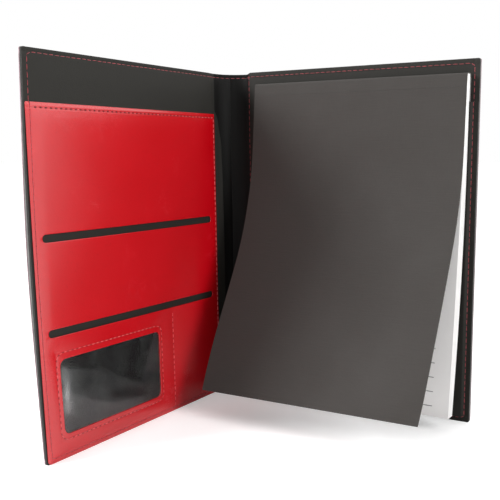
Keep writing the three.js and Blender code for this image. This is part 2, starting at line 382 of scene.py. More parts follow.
class Graph:
    """The nodes of one material or world, added one at a time."""

    def __init__(self, name, kind="materials", output="ShaderNodeOutputMaterial"):
        self.made = getattr(bpy.data, kind).new(name)
        self.made.use_nodes = True
        self.tree = self.made.node_tree
        self.tree.nodes.clear()
        self.output = self.tree.nodes.new(output)
        self.place = self.node("ShaderNodeTexCoord").outputs["Object"]

    def node(self, kind, inputs=None, **settings):
        node = self.tree.nodes.new(kind)
        for key, value in settings.items():
            setattr(node, key, value)
        for key, value in (inputs or {}).items():
            if isinstance(value, bpy.types.NodeSocket):
                self.tree.links.new(value, node.inputs[key])
            else:
                node.inputs[key].default_value = value
        return node

    def noise(self, scale, detail=3.0, rough=0.55, place=None, distortion=0.0):
        inputs = {"Vector": place or self.place, "Scale": scale, "Detail": detail, "Roughness": rough,
                  "Distortion": distortion}
        return self.node("ShaderNodeTexNoise", inputs).outputs["Fac"]

    def cells(self, scale, feature="F1"):
        inputs = {"Vector": self.place, "Scale": scale}
        return self.node("ShaderNodeTexVoronoi", inputs, feature=feature).outputs["Distance"]

    def stretch(self, x, y, z):
        return self.node("ShaderNodeMapping", {"Vector": self.place, "Scale": (x, y, z)}).outputs["Vector"]

    def sums(self, operation, a, b=0.0, c=0.0):
        return self.node("ShaderNodeMath", {0: a, 1: b, 2: c}, operation=operation).outputs[0]

    def between(self, value, low, high, start=0.0, end=1.0):
        inputs = {"Value": value, "From Min": low, "From Max": high, "To Min": start, "To Max": end}
        return self.node("ShaderNodeMapRange", inputs).outputs["Result"]

    def blend(self, share, a, b):
        node = self.node("ShaderNodeMix", data_type="RGBA")
        for index, value in ((0, share), (6, a), (7, b)):
            if isinstance(value, bpy.types.NodeSocket):
                self.tree.links.new(value, node.inputs[index])
            elif index:
                node.inputs[index].default_value = (*value, 1.0)
            else:
                node.inputs[index].default_value = value
        return node.outputs[2]

    def bump(self, height, depth, strength=1.0, normal=None):
        inputs = {"Height": height, "Distance": depth * MM, "Strength": strength}
        if normal:
            inputs["Normal"] = normal
        return self.node("ShaderNodeBump", inputs).outputs["Normal"]

    def finish(self, colour, roughness, normal=None, **more):
        inputs = {"Base Color": colour, "Roughness": roughness}
        if normal:
            inputs["Normal"] = normal
        inputs.update({key.replace("_", " "): value for key, value in more.items()})
        shader = self.node("ShaderNodeBsdfPrincipled", inputs)
        self.tree.links.new(shader.outputs[0], self.output.inputs["Surface"])
        return self.made


def leatherette(name, dark, light, grain, depth, low, high, sheen=0.0, specular=0.5):
    """Coated cloth with an embossed grain, clouded a little and rubbed in places."""
    graph = Graph(name)
    cloud = graph.noise(14.0, 5.0, 0.6)
    fine = graph.noise(grain * 2.6, 2.0)
    pebbles = graph.cells(grain, "SMOOTH_F1")
    colour = graph.blend(graph.between(cloud, 0.32, 0.7), dark, light)
    # The grain's pits get a darker copy of the colour: painted shade in the recesses of the emboss.
    pit_shade = tuple(channel * 0.62 for channel in dark)
    colour = graph.blend(graph.between(pebbles, 0.55, 1.0, 0.0, 0.55), colour, pit_shade)
    height = graph.sums("MULTIPLY_ADD", fine, 0.45, graph.sums("SUBTRACT", 1.0, pebbles))
    normal = graph.bump(height, depth)
    uneven = graph.sums("ADD", cloud, graph.sums("MULTIPLY", fine, 0.4))
    roughness = graph.between(uneven, 0.5, 0.95, low, high)
    return graph.finish(colour, roughness, normal, Sheen_Weight=sheen, Sheen_Roughness=0.4,
                        Specular_IOR_Level=specular)


def fibres(name, dark, light, scale, squash, depth, roughness=0.9):
    """Board, backing cloth or a sheet's cut edge, with fibres that run along its layers."""
    graph = Graph(name)
    threads = graph.noise(scale, 4.0, 0.65, graph.stretch(*squash))
    specks = graph.noise(scale * 3.0, 2.0)
    colour = graph.blend(graph.between(threads, 0.3, 0.7), dark, light)
    return graph.finish(colour, roughness, graph.bump(graph.sums("ADD", threads, specks), depth))


def card_material(name, dark, light):
    """Dyed card, embossed with a fine crossed linen grain."""
    graph = Graph(name)
    across = graph.noise(900.0, 2.0, 0.5, graph.stretch(0.12, 0.12, 1.6))
    upright = graph.noise(900.0, 2.0, 0.5, graph.stretch(1.6, 1.6, 0.12))
    weave = graph.sums("ADD", across, upright)
    cloud = graph.noise(22.0, 4.0, 0.6)
    tone = graph.sums("MULTIPLY_ADD", weave, 0.3, graph.sums("MULTIPLY", cloud, 0.12))
    colour = graph.blend(graph.between(tone, 0.1, 0.6), dark, light)
    roughness = graph.between(cloud, 0.3, 0.7, 0.62, 0.78)
    return graph.finish(colour, roughness, graph.bump(weave, 0.05), Specular_IOR_Level=0.2)


def paper_material(name, ruled):
    """Uncoated paper; the first leaf is ruled."""
    graph = Graph(name)
    fibre = graph.noise(700.0, 4.0, 0.7)
    cloud = graph.noise(30.0, 3.0)
    colour = graph.blend(graph.between(cloud, 0.3, 0.7), (0.87, 0.855, 0.845), (0.91, 0.90, 0.89))
    if ruled:
        axes = graph.node("ShaderNodeSeparateXYZ", {"Vector": graph.place})
        shifted = graph.sums("SUBTRACT", axes.outputs["Z"], (RULE_FIRST - RULE_STEP / 2) * MM)
        phase = graph.sums("MODULO", shifted, RULE_STEP * MM)
        off = graph.sums("ABSOLUTE", graph.sums("SUBTRACT", phase, RULE_STEP / 2 * MM))
        on_line = graph.sums("LESS_THAN", off, 0.23 * MM)
        short = graph.sums("LESS_THAN", axes.outputs["X"], (HINGE_X + RULE_END) * MM)
        low = graph.sums("GREATER_THAN", axes.outputs["Z"], (RULE_FIRST - 1.0) * MM)
        ink = graph.sums("MULTIPLY", graph.sums("MULTIPLY", on_line, short), low)
        patchy = graph.between(fibre, 0.3, 0.6, 0.65, 0.95)
        colour = graph.blend(graph.sums("MULTIPLY", ink, patchy), colour, (0.06, 0.06, 0.065))
    return graph.finish(colour, 0.85, graph.bump(fibre, 0.02), Specular_IOR_Level=0.25)


def thread_material(name, dark, light):
    """Twisted thread with loose fibres."""
    graph = Graph(name)
    twist = graph.noise(2600.0, 2.0, 0.5, graph.stretch(1.0, 1.0, 0.5))
    tone = graph.noise(240.0, 2.0)
    colour = graph.blend(graph.between(graph.sums("ADD", twist, tone), 0.75, 1.25), dark, light)
    return graph.finish(colour, 0.6, graph.bump(twist, 0.06), Sheen_Weight=0.3, Sheen_Roughness=0.5)


def film_material(name):
    """Clear soft film: a little of the light comes back, and the rest goes through."""
    graph = Graph(name)
    haze = graph.noise(60.0, 4.0, 0.6)
    ripple = graph.noise(90.0, 2.0, 0.4)
    normal = graph.bump(ripple, 0.08, 0.5)
    gloss = graph.node("ShaderNodeBsdfGlossy", {"Color": (0.95, 0.95, 0.95, 1.0), "Normal": normal,
                                                "Roughness": graph.between(haze, 0.3, 0.7, 0.06, 0.14)})
    clear = graph.node("ShaderNodeBsdfTransparent", {"Color": (0.93, 0.94, 0.94, 1.0)})
    fresnel = graph.node("ShaderNodeFresnel", {"IOR": 1.55, "Normal": normal}).outputs[0]
    share = graph.sums("MULTIPLY_ADD", fresnel, 1.25, 0.012)
    mixed = graph.node("ShaderNodeMixShader", {0: share, 1: clear.outputs[0], 2: gloss.outputs[0]})
    graph.tree.links.new(mixed.outputs[0], graph.output.inputs["Surface"])
    return graph.made


inner_black = leatherette("inner_leatherette", (0.0130, 0.0122, 0.0100), (0.0172, 0.0163, 0.0137),
                          1500.0, 0.05, 0.62, 0.75, sheen=0.02, specular=0.22)
# The spine's lining: its much darker colour is painted shade for the hollow between the covers; its lower
# roughness is its own.
spine_black_shaded = leatherette("spine_leatherette_shaded", (0.0026, 0.0025, 0.0022), (0.0040, 0.0038, 0.0035),
                          1500.0, 0.05, 0.5, 0.65, specular=0.12)
outer_black = leatherette("outer_leatherette", (0.017, 0.0165, 0.016), (0.026, 0.025, 0.024),
                          820.0, 0.12, 0.42, 0.6)
red = leatherette("red_leatherette", (0.455, 0.0003, 0.004), (0.505, 0.0006, 0.006),
                  1300.0, 0.03, 0.22, 0.30, specular=1.0)
red_cut = fibres("red_cut_edge", (0.62, 0.12, 0.13), (0.78, 0.30, 0.30), 900.0, (1.0, 1.0, 1.0), 0.05, 0.8)
black_cut = fibres("black_cut_edge", (0.022, 0.021, 0.02), (0.05, 0.047, 0.045), 900.0, (1.0, 1.0, 1.0), 0.06)
skin_cut = fibres("skin_cut_edge", (0.16, 0.10, 0.115), (0.42, 0.26, 0.30), 700.0, (1.0, 1.0, 0.4), 0.12)
board_grey = fibres("greyboard", (0.10, 0.095, 0.095), (0.19, 0.18, 0.175), 500.0, (1.0, 1.0, 0.3), 0.12)
dark_card = card_material("dark_card", (0.0362, 0.0330, 0.0307), (0.0450, 0.0412, 0.0380))
card_cut = fibres("card_cut_edge", (0.10, 0.095, 0.09), (0.20, 0.19, 0.18), 1200.0, (1.0, 1.0, 1.0), 0.03)
paper = paper_material("paper", False)
ruled_paper = paper_material("ruled_paper", True)
red_thread = thread_material("red_thread", (0.18, 0.008, 0.014), (0.40, 0.035, 0.05))
# The panel's stitches use the same red thread painted paler and pinker: the red is its own colour, the pale
# pink is painted highlight.
panel_thread_highlit = thread_material("panel_thread_highlit", (0.36, 0.010, 0.018), (0.72, 0.13, 0.13))
# Needle holes: dark colours for low domes that are painted shade inside the holes.
red_hole_shade = fibres("needle_hole_shade", (0.06, 0.001, 0.002), (0.10, 0.002, 0.004), 1500.0, (1.0, 1.0, 1.0), 0.02)
black_hole_shade = fibres("needle_hole_black", (0.006, 0.006, 0.006), (0.014, 0.013, 0.013),
                    1500.0, (1.0, 1.0, 1.0), 0.02)
clear_film = film_material("clear_film")


# Levels of the surfaces

def edge_seams(s, z):
    """Distance to the seam that runs round the folder near its edges."""
    return min(abs(s - SEAM_SIDE), abs(z - SEAM_FOOT), abs(z - SEAM_TOP))


def hinge_dip(s):
    """The lining sinks a little where the board ends."""
    return HINGE_DIP * math.exp(-(((s - 1.2) / 1.5) ** 2))


def wave(s, z):
    """The soft spine isn't quite even."""
    if s >= 0:
        return 0.0
    along_spine = math.sin(z / 31.0 + 0.9 * math.sin(s * 0.35))
    return SPINE_WAVE * ease(-s / 5.0) * along_spine * math.sin(s * 0.42 + 1.0)


def lining_front(s, z):
    return -dent(edge_seams(s, z)) - hinge_dip(s) + wave(s, z)


def lining_levels(s, z):
    front = lining_front(s, z)
    return front - LINING + 0.02, front


def back_lining_front(s, z):
    return lining_front(s, z) - dent(s - HINGE_SEAM)


def back_lining_levels(s, z):
    front = back_lining_front(s, z)
    return front - LINING + 0.02, front


def skin_back(s, z):
    drop = ease((s - 0.6) / 3.0)
    level = SPINE_SKIN_BACK + (SKIN_BACK - SPINE_SKIN_BACK) * drop
    return level + dent(edge_seams(s, z), 0.22, 0.8) + wave(s, z)


def skin_levels(s, z):
    back = skin_back(s, z)
    return back, back + LINING


def board_levels(s, z):
    return BOARD_BACK + 0.02, BOARD_FRONT


def pinch(s, z):
    """The front cover is thinner towards its outer corners, where its seams draw it in."""
    return PINCH * ease((s - WIDTH + PINCH_REACH) / PINCH_REACH) * abs(math.cos(math.pi * z / HEIGHT)) ** 1.4


def front_skin_back(s, z):
    return skin_back(s, z) + pinch(s, z)


def front_skin_levels(s, z):
    back = front_skin_back(s, z)
    return back, back + LINING


def front_board_levels(s, z):
    return BOARD_BACK + 0.02 + pinch(s, z), BOARD_FRONT


def pocket_edge(z):
    return along(POCKET_EDGE, z)


def pocket_front(s, z):
    lifted = POCKET_LIFT * math.exp(-((s - pocket_edge(z)) / 5.0) ** 2) * ease((HEIGHT - 6 - z) / 40)
    rise = POCKET_RISE * ease((WIDTH - 6 - s) / 8) * ease((z - 5) / 8) * ease((HEIGHT - 5 - z) / 8)
    return POCKET_LEVEL + rise + lifted - dent(edge_seams(s, z), 0.14)


def pocket_levels(s, z):
    front = pocket_front(s, z)
    return front - POCKET_SHEET, front


def window_distance(s, z):
    """Distance to the seam that holds the film."""
    inner, outer, foot, head = WINDOW_SEAM
    beyond = max(inner - s, s - outer, foot - z, z - head)
    return abs(beyond)


def panel_seams(s, z):
    return min(
        abs(s - SEAM_SIDE),
        abs(s - PANEL_SEAM_INNER),
        abs(z - SEAM_FOOT),
        abs(z - PANEL_SEAM_HEAD),
        window_distance(s, z),
        math.hypot(s - DIVIDER, max(z - DIVIDER_TOP, 0.0)),
    )


def panel_rise(s, z):
    """The panel swells between its seams, and its slots gape a little."""
    distance = panel_seams(s, z)
    swell = PANEL_RISE * (1 - math.exp(-((distance / 4.5) ** 2)))
    inside = min(s - PANEL_FROM, PANEL_TO - s, PANEL_HEAD - z, z)
    swell *= ease(inside / 3.0) if inside < 3.0 else 1.0
    gape = 0.0
    for slot in SLOT_ZS:
        below = slot - SLOT_HALF - z
        if -0.5 < below < 14:
            share = math.sin(math.pi * min(max((s - SLOT_FROM) / (SLOT_TO - SLOT_FROM), 0), 1))
            gape += SLOT_GAPE * share * math.exp(-((below / 5.0) ** 2))
    drift = 0.10 * math.sin(s / 23.0 + 0.7) * math.sin(z / 29.0 + 0.4)
    return swell + gape + drift * ease(inside / 12.0) - dent(distance, 0.12)


def panel_front(s, z):
    return PANEL_BACK + PANEL_SHEET + panel_rise(s, z)


def sleeve_front(s, z):
    over_board = ease((PAD_TO + 2.4 - s) / 2.2) * ease((s - PAD_FROM + 2.4) / 2.2) * ease((z - 2.4) / 1.6)
    return SLEEVE_LEVEL + SLEEVE_RISE * over_board - dent(edge_seams(s, z), 0.12)


def sleeve_levels(s, z):
    front = sleeve_front(s, z)
    return front - SLEEVE_SHEET, front


def film_front(s, z):
    """The film bulges and ripples inside its window."""
    inner, outer, foot, head = WINDOW
    inside = ease(min(s - inner, outer - s, z - foot, head - z) / 7.0)
    bulge = 0.0
    for centre_s, centre_z, reach_s, reach_z, height in FILM_SWELLS:
        bulge += height * math.exp(-(((s - centre_s) / reach_s) ** 2 + ((z - centre_z) / reach_z) ** 2))
    bulge += 0.06 * math.sin(s / 6.5 + z / 9.0) + 0.05 * math.sin(z / 5.0 - s / 14.0)
    return FILM_LEVEL + FILM / 2 + inside * (0.15 + bulge)


def film_levels(s, z):
    front = film_front(s, z)
    return front - FILM, front


# Skins, linings and boards

seam_columns = around(SEAM_SIDE)
seam_rows = around(SEAM_FOOT, (0.35, 0.8, 1.5)) + around(SEAM_TOP, (0.35, 0.8, 1.5))
hinge_columns = spread(-4.0, 5.0, 0.6)
whole_span = rounded_span(WIDTH, 0.0, HEIGHT)
whole_rows = cover_rows(0.0, HEIGHT, seam_rows)


def head_step(s):
    """How the head rises from the spine to the back cover."""
    return ease((s + 0.5) / 2.5)


def back_span(s):
    """The back cover stands a little higher than the spine."""
    foot, head = whole_span(s)
    return foot, head + BACK_HEAD * head_step(s)


whole_columns = cover_columns(-SPINE / 2, WIDTH, hinge_columns + seam_columns)

BACK_JOIN = (on_back(JOIN_REACH, 0, 0), on_back(-JOIN_REACH, 0, 0))
FRONT_JOIN = (on_front(JOIN_REACH, 0, 0), on_front(-JOIN_REACH, 0, 0))


def hinged(piece, side, slot, *nodes):
    """A piece that crosses from a cover to the spine."""
    if side == "back":
        start, end = BACK_JOIN
        tuple(start)
        tuple(end)
        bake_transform(piece)
    else:
        start, end = FRONT_JOIN
        tuple(start)
        tuple(end)
        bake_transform(piece)
    if nodes:
        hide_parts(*nodes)
    return piece


def rides(piece, body, slot, *nodes):
    """A piece that moves with one body."""
    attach(piece, body)
    if nodes:
        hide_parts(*nodes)
    return piece


def spine_mark(s):
    """The spine's lining is smoother than the covers', and its much darker colour is painted shade for the
    hollow between the covers.
    """
    return 2 if s < SPINE_LINING_END else 0


back_skin = slab("back_leatherette", whole_columns, whole_rows, skin_levels, on_back,
                 [outer_black, skin_cut], back_span)
front_skin = slab("front_leatherette", whole_columns, whole_rows, front_skin_levels, on_front,
                  [outer_black, skin_cut], whole_span)
back_lining = slab("back_inner_leatherette", whole_columns, whole_rows, back_lining_levels, on_back,
                   [inner_black, black_cut, spine_black_shaded], back_span, spine_mark)
front_lining = slab("front_inner_leatherette", whole_columns, whole_rows, lining_levels, on_front,
                    [inner_black, black_cut, spine_black_shaded], whole_span, spine_mark)
hinged(bevel(back_skin), "back", "outer_leatherette", "back_skin", "spine_skin")
hinged(bevel(front_skin), "front", "outer_leatherette", "front_skin")
hinged(bevel(back_lining), "back", "inner_leatherette", "back_lining", "spine_lining")
hinged(bevel(front_lining), "front", "inner_leatherette", "front_lining")

board_columns = cover_columns(BOARD_START, WIDTH, step=6.0)
board_rows = cover_rows(0.0, HEIGHT, step=8.0)
for side, place, levels, span in (("back", on_back, board_levels, back_span),
                                  ("front", on_front, front_board_levels, whole_span)):
    board = slab(side + "_stiffener", board_columns, board_rows, levels, place, [board_grey], span)
    rides(bevel(board, 0.08), side + "_cover", "greyboard", side + "_board")


# Document pocket

def document_pocket():
    """The pocket, whose first columns follow its free edge."""
    columns = cover_columns(POCKET_START, WIDTH, spread(POCKET_START, 6.0, 0.8) + seam_columns)

    def real(s, z):
        if s >= POCKET_SETTLED:
            return s
        edge = pocket_edge(z)
        share = (s - POCKET_START) / (POCKET_SETTLED - POCKET_START)
        return edge + share * (POCKET_SETTLED - edge)

    def place(s, n, z):
        return on_front(real(s, z), n, z)

    def levels(s, z):
        return pocket_levels(real(s, z), z)

    piece = slab("pocket_sheet", columns, whole_rows, levels, place, [inner_black, black_cut], whole_span)
    return hinged(bevel(piece, 0.1), "front", "inner_leatherette", "document_pocket")


document_pocket()


# Organiser panel

def arc(centre_s, centre_z, radius, start, stop, steps=7):
    """Points on a corner; angles in quarter turns."""
    points = []
    for i in range(steps + 1):
        angle = math.pi / 2 * (start + (stop - start) * i / steps)
        points.append((centre_s + radius * math.cos(angle), centre_z + radius * math.sin(angle)))
    return points


def rounded(inner, outer, foot, head, radius, steps=7):
    """A rectangle with round corners, anticlockwise."""
    return (arc(outer - radius, foot + radius, radius, -1, 0, steps)
            + arc(outer - radius, head - radius, radius, 0, 1, steps)
            + arc(inner + radius, head - radius, radius, 1, 2, steps)
            + arc(inner + radius, foot + radius, radius, 2, 3, steps))


def panel_outline():
    """The panel's edge, anticlockwise; its outer side is drawn in a little."""
    corner = PANEL_CORNER
    tip = PANEL_TIP
    points = [(PANEL_FROM, 0.0)]
    points += arc(PANEL_TO - corner, corner, corner, -1, 0)
    for z in spread(corner, PANEL_HEAD - tip, 8.0)[1:-1]:
        points.append((PANEL_TO - PANEL_EDGE_BOW * math.sin(math.pi * z / PANEL_HEAD), z))
    points += arc(PANEL_TO - tip, PANEL_HEAD - tip, tip, 0, 1, 4)
    points += arc(PANEL_FROM + tip, PANEL_HEAD - tip, tip, 1, 2, 4)
    return points


def edge_press(s, z):
    """How far the panel is pressed thin between its edge and the seam beside it."""
    outer = PANEL_TO - PANEL_EDGE_BOW * math.sin(math.pi * z / PANEL_HEAD)
    inside = min(outer - s, PANEL_HEAD - z, z, s - PANEL_FROM)
    return EDGE_PRESS * (1 - ease(inside / EDGE_PRESS_REACH))


def punched(name, loops, thickness, rounding, columns, rows, levels, place, materials):
    """A sheet with openings and rounded cut edges, laid onto its level."""
    curve = bpy.data.curves.new(name, "CURVE")
    curve.dimensions = "2D"
    curve.fill_mode = "BOTH"
    curve.extrude = thickness / 2 - rounding
    curve.bevel_depth = rounding
    curve.bevel_resolution = 2
    curve.offset = -rounding
    for loop in loops:
        spline = curve.splines.new("POLY")
        spline.points.add(len(loop) - 1)
        for point, (s, z) in zip(spline.points, loop):
            point.co = (s, z, 0.0, 1.0)
        spline.use_cyclic_u = True
    holder = bpy.data.objects.new(name + "_outline", curve)
    bpy.context.scene.collection.objects.link(holder)
    bpy.context.view_layer.update()
    mesh = bpy.data.meshes.new_from_object(holder.evaluated_get(bpy.context.evaluated_depsgraph_get()))
    bpy.data.objects.remove(holder)
    work = bmesh.new()
    work.from_mesh(mesh)
    bmesh.ops.remove_doubles(work, verts=work.verts, dist=1e-4)
    for axis, values in (((1, 0, 0), columns), ((0, 1, 0), rows)):
        for value in values:
            everything = list(work.verts) + list(work.edges) + list(work.faces)
            spot = Vector(axis) * value
            bmesh.ops.bisect_plane(work, geom=everything, plane_co=spot, plane_no=axis, dist=1e-5)
    work.normal_update()
    for face in work.faces:
        face.material_index = 0 if abs(face.normal.z) > 0.8 else 1
    for vert in work.verts:
        s, z, n = vert.co
        pressed = (n + thickness / 2) * (1 - edge_press(s, z)) - thickness / 2
        vert.co = place(s, levels(s, z) + pressed, z)
    work.to_mesh(mesh)
    work.free()
    mesh.materials.clear()
    for material in materials:
        mesh.materials.append(material)
    return dress(name, mesh, 40.0)


def panel_level(s, z):
    return PANEL_BACK + PANEL_SHEET / 2 + panel_rise(s, z)


def organiser():
    """The red panel, cut up finely beside its seams and slots so that it can swell between them."""
    loops = [panel_outline(), rounded(*WINDOW, WINDOW_CORNER)]
    for z in SLOT_ZS:
        loops.append(rounded(SLOT_FROM, SLOT_TO, z - SLOT_HALF, z + SLOT_HALF, SLOT_HALF - 0.01))
    inner, outer, foot, head = WINDOW_SEAM
    columns = spread(PANEL_FROM, PANEL_TO, 4.0)[1:-1]
    rows = spread(0.0, PANEL_HEAD, 4.0)[1:-1]
    for seam in (PANEL_SEAM_INNER, inner, outer, SEAM_SIDE, DIVIDER):
        columns += around(seam, (0.5, 1.1))
    for seam in (SEAM_FOOT, PANEL_SEAM_HEAD, foot, head):
        rows += around(seam, (0.5, 1.1))
    for z in SLOT_ZS:
        rows += [z - SLOT_HALF - 0.8, z - SLOT_HALF - 2.0, z + SLOT_HALF + 1.0]
    columns = between(columns, PANEL_FROM, PANEL_TO)[1:-1]
    rows = between(rows, 0.0, PANEL_HEAD)[1:-1]
    piece = punched("organiser_sheet", loops, PANEL_SHEET, PANEL_ROUNDING, columns, rows, panel_level,
                    on_front, [red, red_cut])
    return rides(piece, "front_cover", "red_leatherette", "organiser_panel")


organiser()

film_columns = spread(WINDOW[0] - FILM_OVERLAP, WINDOW[1] + FILM_OVERLAP, 1.5)
film_rows = spread(WINDOW[2] - FILM_OVERLAP, WINDOW[3] + FILM_OVERLAP, 1.5)
film = slab("window_sheet", film_columns, film_rows, film_levels, on_front, [clear_film])
rides(film, "front_cover", "clear_film", "window_film")


# Sleeve of the pad

board_sides = spread(PAD_FROM - 3, PAD_FROM + 1, 0.5) + spread(PAD_TO - 1, PAD_TO + 3, 0.5)
sleeve_columns = cover_columns(SLEEVE_FROM, WIDTH, board_sides + seam_columns)
sleeve_rows = cover_rows(0.0, SLEEVE_HEAD, spread(1.6, 5.0, 0.4))


def sleeve_span(s):
    foot, _ = whole_span(s)
    return foot, SLEEVE_HEAD


sleeve = slab("sleeve_sheet", sleeve_columns, sleeve_rows, sleeve_levels, on_back, [inner_black, black_cut],
              sleeve_span)
rides(bevel(sleeve, 0.1), "back_cover", "inner_leatherette", "pad_sleeve")


# Pages

def page_leaves():
    """The pages, as leaves that part and lean towards the card from the crease down."""
    points = []
    faces = []
    indices = []
    pitch = PAGES / LEAVES
    thick = pitch * LEAF_SHARE
    rows = spread(PAD_FOOT, PAD_HEAD, 8.0) + [SLEEVE_HEAD, SLEEVE_HEAD + 0.8]
    rows = between(rows, PAD_FOOT, PAD_HEAD)
    for leaf in range(LEAVES):
        shift = random.uniform(-0.12, 0.12)
        lift = random.uniform(0.0, 0.25)
        loose = random.uniform(-0.35, 0.35) if 0 < leaf < LEAVES - 1 else 0.0
        last = leaf == LEAVES - 1
        start = len(points)
        for side in (0, 1):
            for s in (PAD_FROM + 0.2 + shift, PAD_TO - 0.2 + shift):
                for row in rows:
                    over_sleeve = ease(SLEEVE_HEAD + 1 - row)
                    base = PAGES_HEAD_BACK + (PAGES_BACK - PAGES_HEAD_BACK) * over_sleeve
                    lean = max(0.0, (CREASE_Z - row) / (CREASE_Z - PAD_FOOT))
                    z = row + (lift + PAGES_RISE * lean) * lean
                    back_lift = PAGES_BACK_LIFT * lean ** PAGES_BACK_BEND
                    front_lift = PAGES_FRONT_LIFT * lean ** PAGES_FRONT_BEND
                    spring = back_lift + (front_lift - back_lift) * leaf / (LEAVES - 1)
                    level = base + leaf * pitch + spring + loose * lean * 0.6
                    points.append(on_back(s, level + side * thick, z))
        tall = len(rows)
        for j in range(tall - 1):
            a = start + j
            b = a + tall
            c = a + 2 * tall
            d = a + 3 * tall
            faces += [(a, b, b + 1, a + 1), (c, c + 1, d + 1, d), (a, a + 1, c + 1, c), (b, d, d + 1, b + 1)]
            indices += [0, 1 if last else 0, 0, 0]
        for j in (0, tall - 1):
            a = start + j
            faces.append((a, a + tall, a + 3 * tall, a + 2 * tall))
            indices.append(0)
    piece = build("page_leaves", points, faces, [paper, ruled_paper], indices, 30.0)
    rides(piece, "back_cover", "paper", "page_block")
    tuple(on_back(0, PAGES_HEAD_BACK, 0))
    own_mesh(piece)


page_leaves()
frame["nodes"]["pad_backboard"].data.materials[0] = board_grey


# Binding strip over the head of the pad

def swept(name, line, thickness, columns, place, materials):
    """A strip that follows a line of (level, height) across the pad; its last edge shows no cut."""
    points = []
    for side in (0.5, -0.5):
        for i, (n, z) in enumerate(line):
            before = line[max(i - 1, 0)]
            after = line[min(i + 1, len(line) - 1)]
            dn = after[0] - before[0]
            dz = after[1] - before[1]
            length = math.hypot(dn, dz)
            off_n = dz / length * thickness * side
            off_z = -dn / length * thickness * side
            for s in columns:
                points.append(place(s, n + off_n, z + off_z))
    last = len(columns) * (len(line) - 1)
    faces, indices = sheet_faces(len(line), len(columns), cut=lambda a, b: 0 if min(a, b) >= last else 1)
    return build(name, points, faces, materials, indices)


def binding():
    """The strip runs over the pad's head, and the card hangs from its front edge."""
    top = PAD_HEAD + STRIP_BACK + CARD / 2
    back = STRIP_BACK + CARD / 2
    front = STRIP_FRONT
    radius = STRIP_RADIUS
    line = [(back, z) for z in spread(top - STRIP_LAP, top - radius, 4.0)]
    for i in range(1, STRIP_TURNS + 1):
        angle = math.pi / 2 * i / STRIP_TURNS
        line.append((back + radius * (1 - math.cos(angle)), top - radius * (1 - math.sin(angle))))
    for i in range(STRIP_TURNS + 1):
        angle = math.pi / 2 * i / STRIP_TURNS
        line.append((front - radius * (1 - math.sin(angle)), top - radius * (1 - math.cos(angle))))
    for z in spread(top - radius, CREASE_Z + CREASE_GAP, 1.0)[1:]:
        share = (top - radius - z) / (top - radius - CREASE_Z)
        line.append((front + (CREASE_LEVEL - front) * ease(share), z))
    piece = swept("pad_head_strip", line, CARD, spread(PAD_FROM, PAD_TO, 8.0), on_back, [dark_card, card_cut])
    return rides(piece, "back_cover", "dark_card", "pad_binding")


binding()


# Card cover of the pad

def curl_knots(share):
    """The card's slope knots at a share of its width."""
    return [
        (CARD_LENGTH * (a + (b - a) * share), math.radians(slope_a + (slope_b - slope_a) * share))
        for (a, slope_a), (b, slope_b) in zip(INNER_CURL, OUTER_CURL)
    ]


def curl_point(share, length):
    """How far the card has come out and down at a length from the crease, and its slope there."""
    knots = curl_knots(share)
    out = 0.0
    drop = 0.0
    slope = knots[0][1]
    for (start, start_slope), (end, end_slope) in zip(knots, knots[1:]):
        travel = min(max(length - start, 0.0), end - start)
        if travel > 0:
            radius = (end - start) / (end_slope - start_slope)
            slope = start_slope + travel / radius
            out += radius * (math.cos(start_slope) - math.cos(slope))
            drop += radius * (math.sin(slope) - math.sin(start_slope))
    return out, drop, slope


def card_cover():
    """The curled card, as a developed sheet that hangs from its crease."""
    lengths = spread(0.0, CARD_LENGTH - CARD_CORNER, 3.0)
    lengths += [CARD_LENGTH - CARD_CORNER * (1 - math.sin(math.pi / 2 * i / 5)) for i in range(1, 6)]
    lengths[-1] = CARD_LENGTH - 0.02
    columns = CARD_COLUMNS
    points = []
    for level in (CARD / 2, -CARD / 2):
        for length in lengths:
            over = max(length - (CARD_LENGTH - CARD_CORNER), 0.0)
            inset = CARD_CORNER - math.sqrt(max(CARD_CORNER ** 2 - over ** 2, 0.0))
            for column in range(columns + 1):
                share = column / columns
                s = PAD_FROM + inset + (PAD_TO - PAD_FROM - 2 * inset) * share
                out, drop, slope = curl_point(share, length)
                n = CREASE_LEVEL + out + level * math.cos(slope)
                points.append(on_back(s, n, CREASE_Z - drop + level * math.sin(slope)))
    wide = columns + 1
    faces, indices = sheet_faces(len(lengths), wide, cut=lambda a, b: 0 if max(a, b) < wide else 1)
    piece = build("pad_card", points, faces, [dark_card, card_cut], indices)
    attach(piece, "pad_cover")
    tuple(on_back(0, 8.2, 0))
    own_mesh(piece)
    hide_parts("pad_cover")
    return piece


card_cover()


# Sewing

